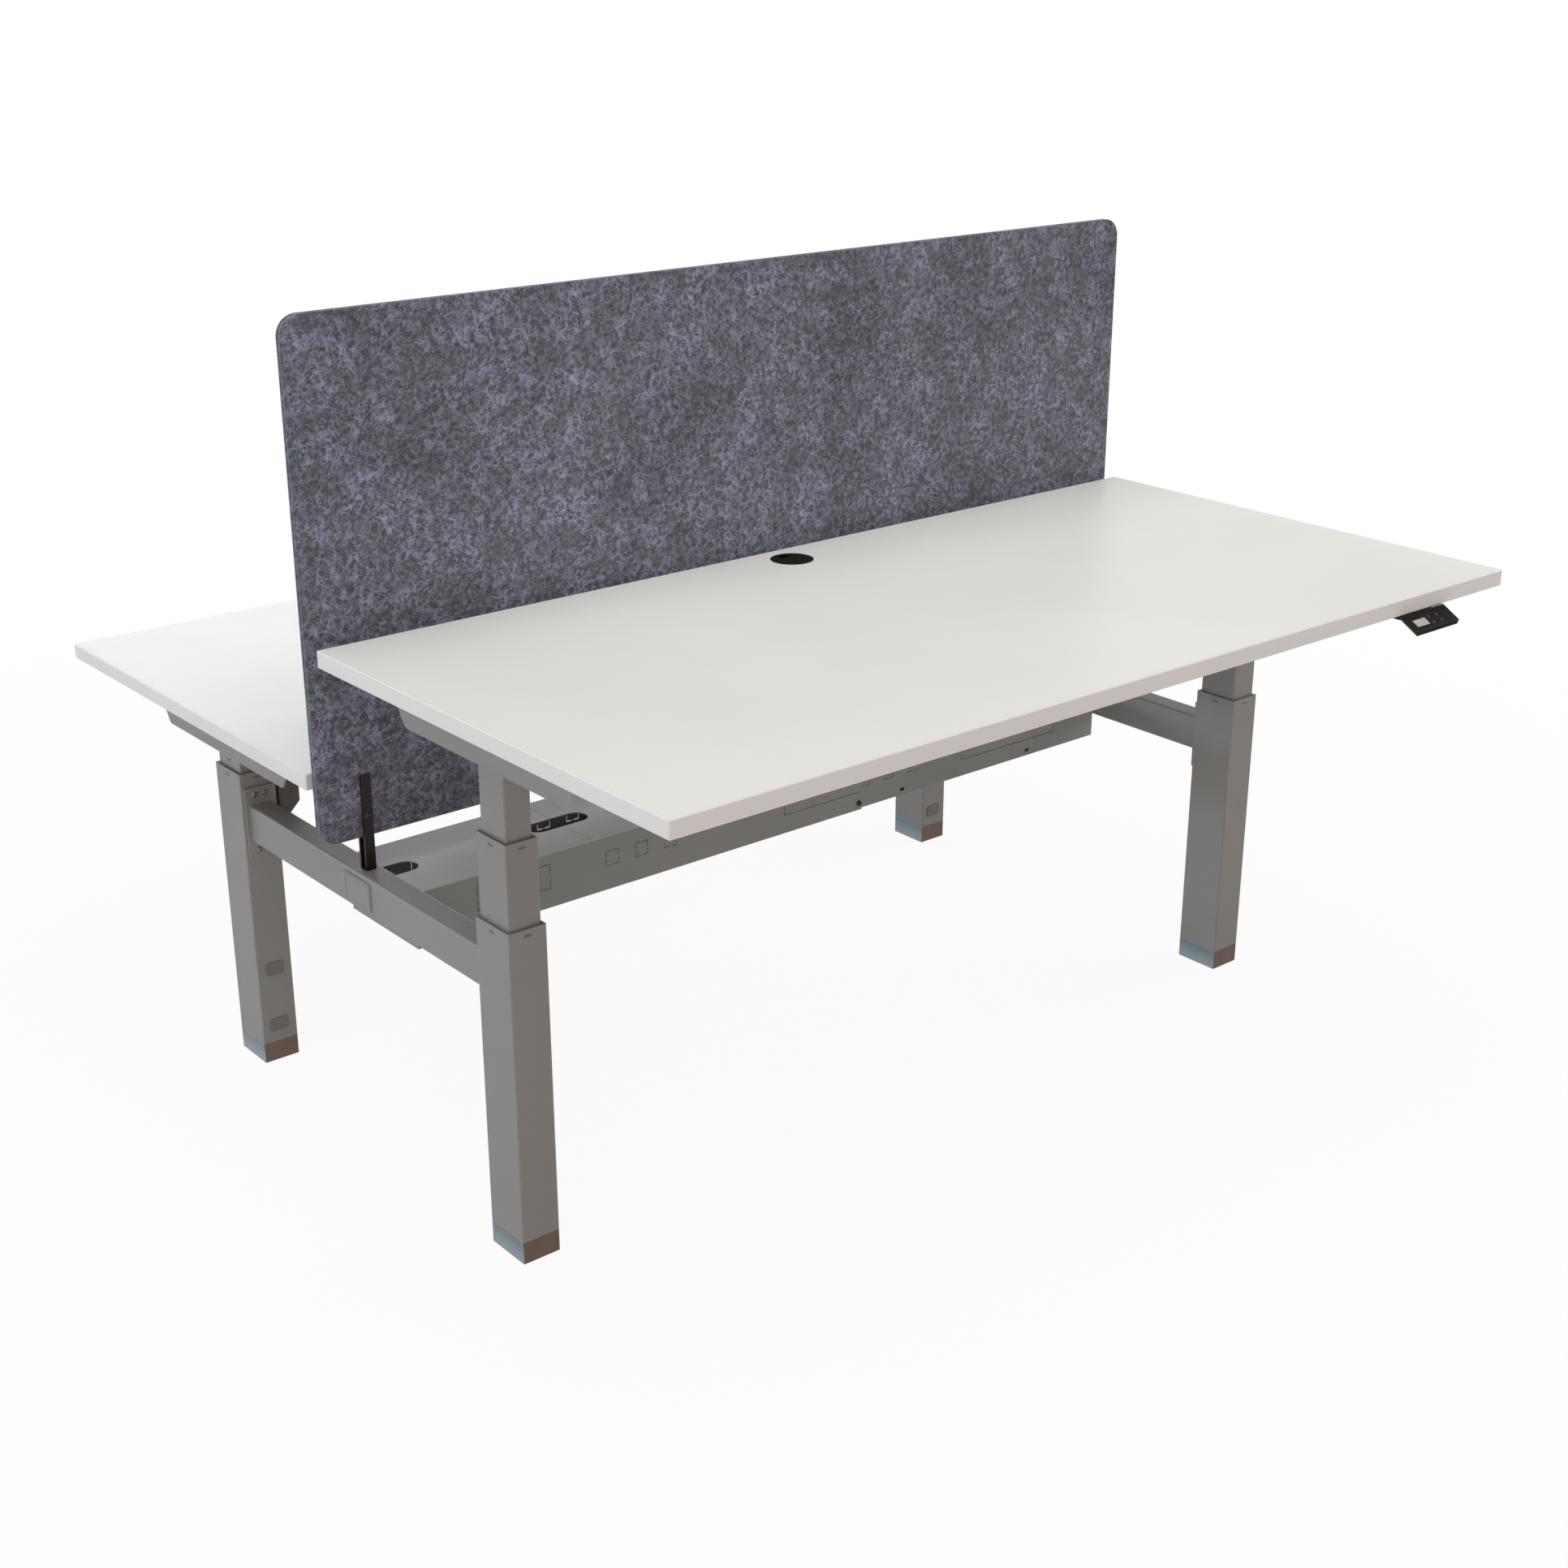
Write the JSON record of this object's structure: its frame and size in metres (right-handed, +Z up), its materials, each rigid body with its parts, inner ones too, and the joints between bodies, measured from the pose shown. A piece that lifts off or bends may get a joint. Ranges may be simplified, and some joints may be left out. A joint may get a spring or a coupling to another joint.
{
  "type": "twin height-adjustable desk",
  "caption": "Back-to-back electric sit-stand desks on a shared frame of telescopic legs, with a felt screen, a cable tray, cable grommets and edge handsets.",
  "frame": {"origin": "on the floor under the middle of the workstation", "axes": "+X along the desktops to the right of someone at the front desk, +Y from the front desk to the rear desk, +Z up"},
  "size_m": [1.606, 1.7254, 1.2535],
  "materials": {
    "frame_paint": "fine-textured silver-grey powder coat",
    "tray_paint": "fine-textured silver-grey powder coat",
    "column_paint": "smooth silver-grey coat on the sliding tubes",
    "desktop": "white melamine-faced board with a matching edge band",
    "felt": "mottled dark-grey pressed felt",
    "bracket_black": "gloss black-brown coat",
    "black_plastic": "fine-grained black plastic",
    "plug_plastic": "grey plastic close to the frame's colour",
    "bush_plastic": "grey sliding plastic",
    "display": "pale grey display window",
    "shoe_metal": "polished metal shoe",
    "pad_rubber": "black floor pad",
    "steel": "bright steel",
    "gear_case": "die-cast case",
    "motor_case": "dark grey case"
  },
  "bodies": {
    "base_frame": {"front_outer_columns": "frame_paint", "rear_outer_columns": "frame_paint", "foot_shoes": "shoe_metal", "floor_pads": "pad_rubber", "column_plugs": "plug_plastic", "outer_guide_bushes": "bush_plastic", "lower_lead_screws": "steel", "rail_screws": "steel", "left_side_rail": "frame_paint", "right_side_rail": "frame_paint", "rail_cover_plates": "frame_paint", "tray_left_trough": "tray_paint", "tray_right_trough": "tray_paint", "tray_lids": "tray_paint", "privacy_screen": "felt", "screen_brackets": "bracket_black", "screen_and_tray_screws": "steel"},
    "front_desk": {"front_desktop": "desktop", "front_inner_columns": "column_paint", "front_support_arms": "frame_paint", "front_gear_housings": "gear_case", "front_motor": "motor_case", "front_cross_rails": "frame_paint", "front_control_box": "black_plastic", "front_grommet_ring": "black_plastic", "front_handset_base": "black_plastic"},
    "front_left_mid": {"front_left_mid_column": "column_paint", "front_left_mid_bush": "bush_plastic"},
    "front_left_drive": {"front_left_drive_tube": "steel"},
    "front_left_screw": {"front_left_upper_screw": "steel"},
    "front_right_mid": {"front_right_mid_column": "column_paint", "front_right_mid_bush": "bush_plastic"},
    "front_right_drive": {"front_right_drive_tube": "steel"},
    "front_right_screw": {"front_right_upper_screw": "steel"},
    "front_shaft": {"front_drive_shaft": "steel"},
    "front_cap": {"front_grommet_cap": "black_plastic"},
    "front_paddle": {"front_handset_paddle": "black_plastic", "front_handset_display": "display"},
    "rear_desk": {"rear_desktop": "desktop", "rear_inner_columns": "column_paint", "rear_support_arms": "frame_paint", "rear_gear_housings": "gear_case", "rear_motor": "motor_case", "rear_cross_rails": "frame_paint", "rear_control_box": "black_plastic", "rear_grommet_ring": "black_plastic", "rear_handset_base": "black_plastic"},
    "rear_left_mid": {"rear_left_mid_column": "column_paint", "rear_left_mid_bush": "bush_plastic"},
    "rear_left_drive": {"rear_left_drive_tube": "steel"},
    "rear_left_screw": {"rear_left_upper_screw": "steel"},
    "rear_right_mid": {"rear_right_mid_column": "column_paint", "rear_right_mid_bush": "bush_plastic"},
    "rear_right_drive": {"rear_right_drive_tube": "steel"},
    "rear_right_screw": {"rear_right_upper_screw": "steel"},
    "rear_shaft": {"rear_drive_shaft": "steel"},
    "rear_cap": {"rear_grommet_cap": "black_plastic"},
    "rear_paddle": {"rear_handset_paddle": "black_plastic", "rear_handset_display": "display"}
  },
  "joints": [
    {"name": "front_lift", "type": "slide", "parent": "base_frame", "child": "front_desk", "axis": [0, 0, 1], "range_m": [-0.2, 0.45]},
    {"name": "front_left_mid_slide", "type": "slide", "parent": "base_frame", "child": "front_left_mid", "axis": [0, 0, 1], "range_m": [-0.101, 0.226]},
    {"name": "front_left_drive_turn", "type": "hinge", "parent": "front_left_mid", "child": "front_left_drive", "pos_m": [-0.727, -0.378, 0.4], "axis": [0, 0, 1], "range_deg": [-4510, 10135]},
    {"name": "front_left_screw_turn", "type": "hinge", "parent": "front_desk", "child": "front_left_screw", "pos_m": [-0.727, -0.378, 0.4], "axis": [0, 0, 1], "range_deg": [-4510, 10135]},
    {"name": "front_right_mid_slide", "type": "slide", "parent": "base_frame", "child": "front_right_mid", "axis": [0, 0, 1], "range_m": [-0.101, 0.226]},
    {"name": "front_right_drive_turn", "type": "hinge", "parent": "front_right_mid", "child": "front_right_drive", "pos_m": [0.727, -0.378, 0.4], "axis": [0, 0, 1], "range_deg": [-4510, 10135]},
    {"name": "front_right_screw_turn", "type": "hinge", "parent": "front_desk", "child": "front_right_screw", "pos_m": [0.727, -0.378, 0.4], "axis": [0, 0, 1], "range_deg": [-4510, 10135]},
    {"name": "front_shaft_turn", "type": "hinge", "parent": "front_desk", "child": "front_shaft", "pos_m": [0, -0.378, 0.753], "axis": [1, 0, 0], "range_deg": [-4510, 10135]},
    {"name": "front_cap_turn", "type": "hinge", "parent": "front_desk", "child": "front_cap", "pos_m": [0, -0.087, 0.804], "axis": [0, 0, 1], "continuous": true},
    {"name": "front_paddle_tilt", "type": "hinge", "parent": "front_desk", "child": "front_paddle", "pos_m": [0.594, -0.8033, 0.7715], "axis": [1, 0, 0], "range_deg": [-4, 4], "stiffness_Nm_per_rad": 5},
    {"name": "rear_lift", "type": "slide", "parent": "base_frame", "child": "rear_desk", "axis": [0, 0, 1], "range_m": [0, 0.65]},
    {"name": "rear_left_mid_slide", "type": "slide", "parent": "base_frame", "child": "rear_left_mid", "axis": [0, 0, 1], "range_m": [-0.001, 0.326]},
    {"name": "rear_left_drive_turn", "type": "hinge", "parent": "rear_left_mid", "child": "rear_left_drive", "pos_m": [-0.727, 0.378, 0.4], "axis": [0, 0, 1], "range_deg": [-10, 14635]},
    {"name": "rear_left_screw_turn", "type": "hinge", "parent": "rear_desk", "child": "rear_left_screw", "pos_m": [-0.727, 0.378, 0.4], "axis": [0, 0, 1], "range_deg": [-10, 14635]},
    {"name": "rear_right_mid_slide", "type": "slide", "parent": "base_frame", "child": "rear_right_mid", "axis": [0, 0, 1], "range_m": [-0.001, 0.326]},
    {"name": "rear_right_drive_turn", "type": "hinge", "parent": "rear_right_mid", "child": "rear_right_drive", "pos_m": [0.727, 0.378, 0.4], "axis": [0, 0, 1], "range_deg": [-10, 14635]},
    {"name": "rear_right_screw_turn", "type": "hinge", "parent": "rear_desk", "child": "rear_right_screw", "pos_m": [0.727, 0.378, 0.4], "axis": [0, 0, 1], "range_deg": [-10, 14635]},
    {"name": "rear_shaft_turn", "type": "hinge", "parent": "rear_desk", "child": "rear_shaft", "pos_m": [0, 0.378, 0.553], "axis": [1, 0, 0], "range_deg": [-10, 14635]},
    {"name": "rear_cap_turn", "type": "hinge", "parent": "rear_desk", "child": "rear_cap", "pos_m": [0, 0.087, 0.604], "axis": [0, 0, 1], "continuous": true},
    {"name": "rear_paddle_tilt", "type": "hinge", "parent": "rear_desk", "child": "rear_paddle", "pos_m": [-0.594, 0.8033, 0.5715], "axis": [-1, 0, 0], "range_deg": [-4, 4], "stiffness_Nm_per_rad": 5}
  ],
  "couplings": [
    {"joint": "front_left_mid_slide", "follows": "front_lift", "ratio": 0.5},
    {"joint": "front_left_drive_turn", "follows": "front_lift", "rad_per_m": 392.7},
    {"joint": "front_left_screw_turn", "follows": "front_lift", "rad_per_m": 392.7},
    {"joint": "front_right_mid_slide", "follows": "front_lift", "ratio": 0.5},
    {"joint": "front_right_drive_turn", "follows": "front_lift", "rad_per_m": 392.7},
    {"joint": "front_right_screw_turn", "follows": "front_lift", "rad_per_m": 392.7},
    {"joint": "front_shaft_turn", "follows": "front_lift", "rad_per_m": 392.7},
    {"joint": "rear_left_mid_slide", "follows": "rear_lift", "ratio": 0.5},
    {"joint": "rear_left_drive_turn", "follows": "rear_lift", "rad_per_m": 392.7},
    {"joint": "rear_left_screw_turn", "follows": "rear_lift", "rad_per_m": 392.7},
    {"joint": "rear_right_mid_slide", "follows": "rear_lift", "ratio": 0.5},
    {"joint": "rear_right_drive_turn", "follows": "rear_lift", "rad_per_m": 392.7},
    {"joint": "rear_right_screw_turn", "follows": "rear_lift", "rad_per_m": 392.7},
    {"joint": "rear_shaft_turn", "follows": "rear_lift", "rad_per_m": 392.7}
  ]
}
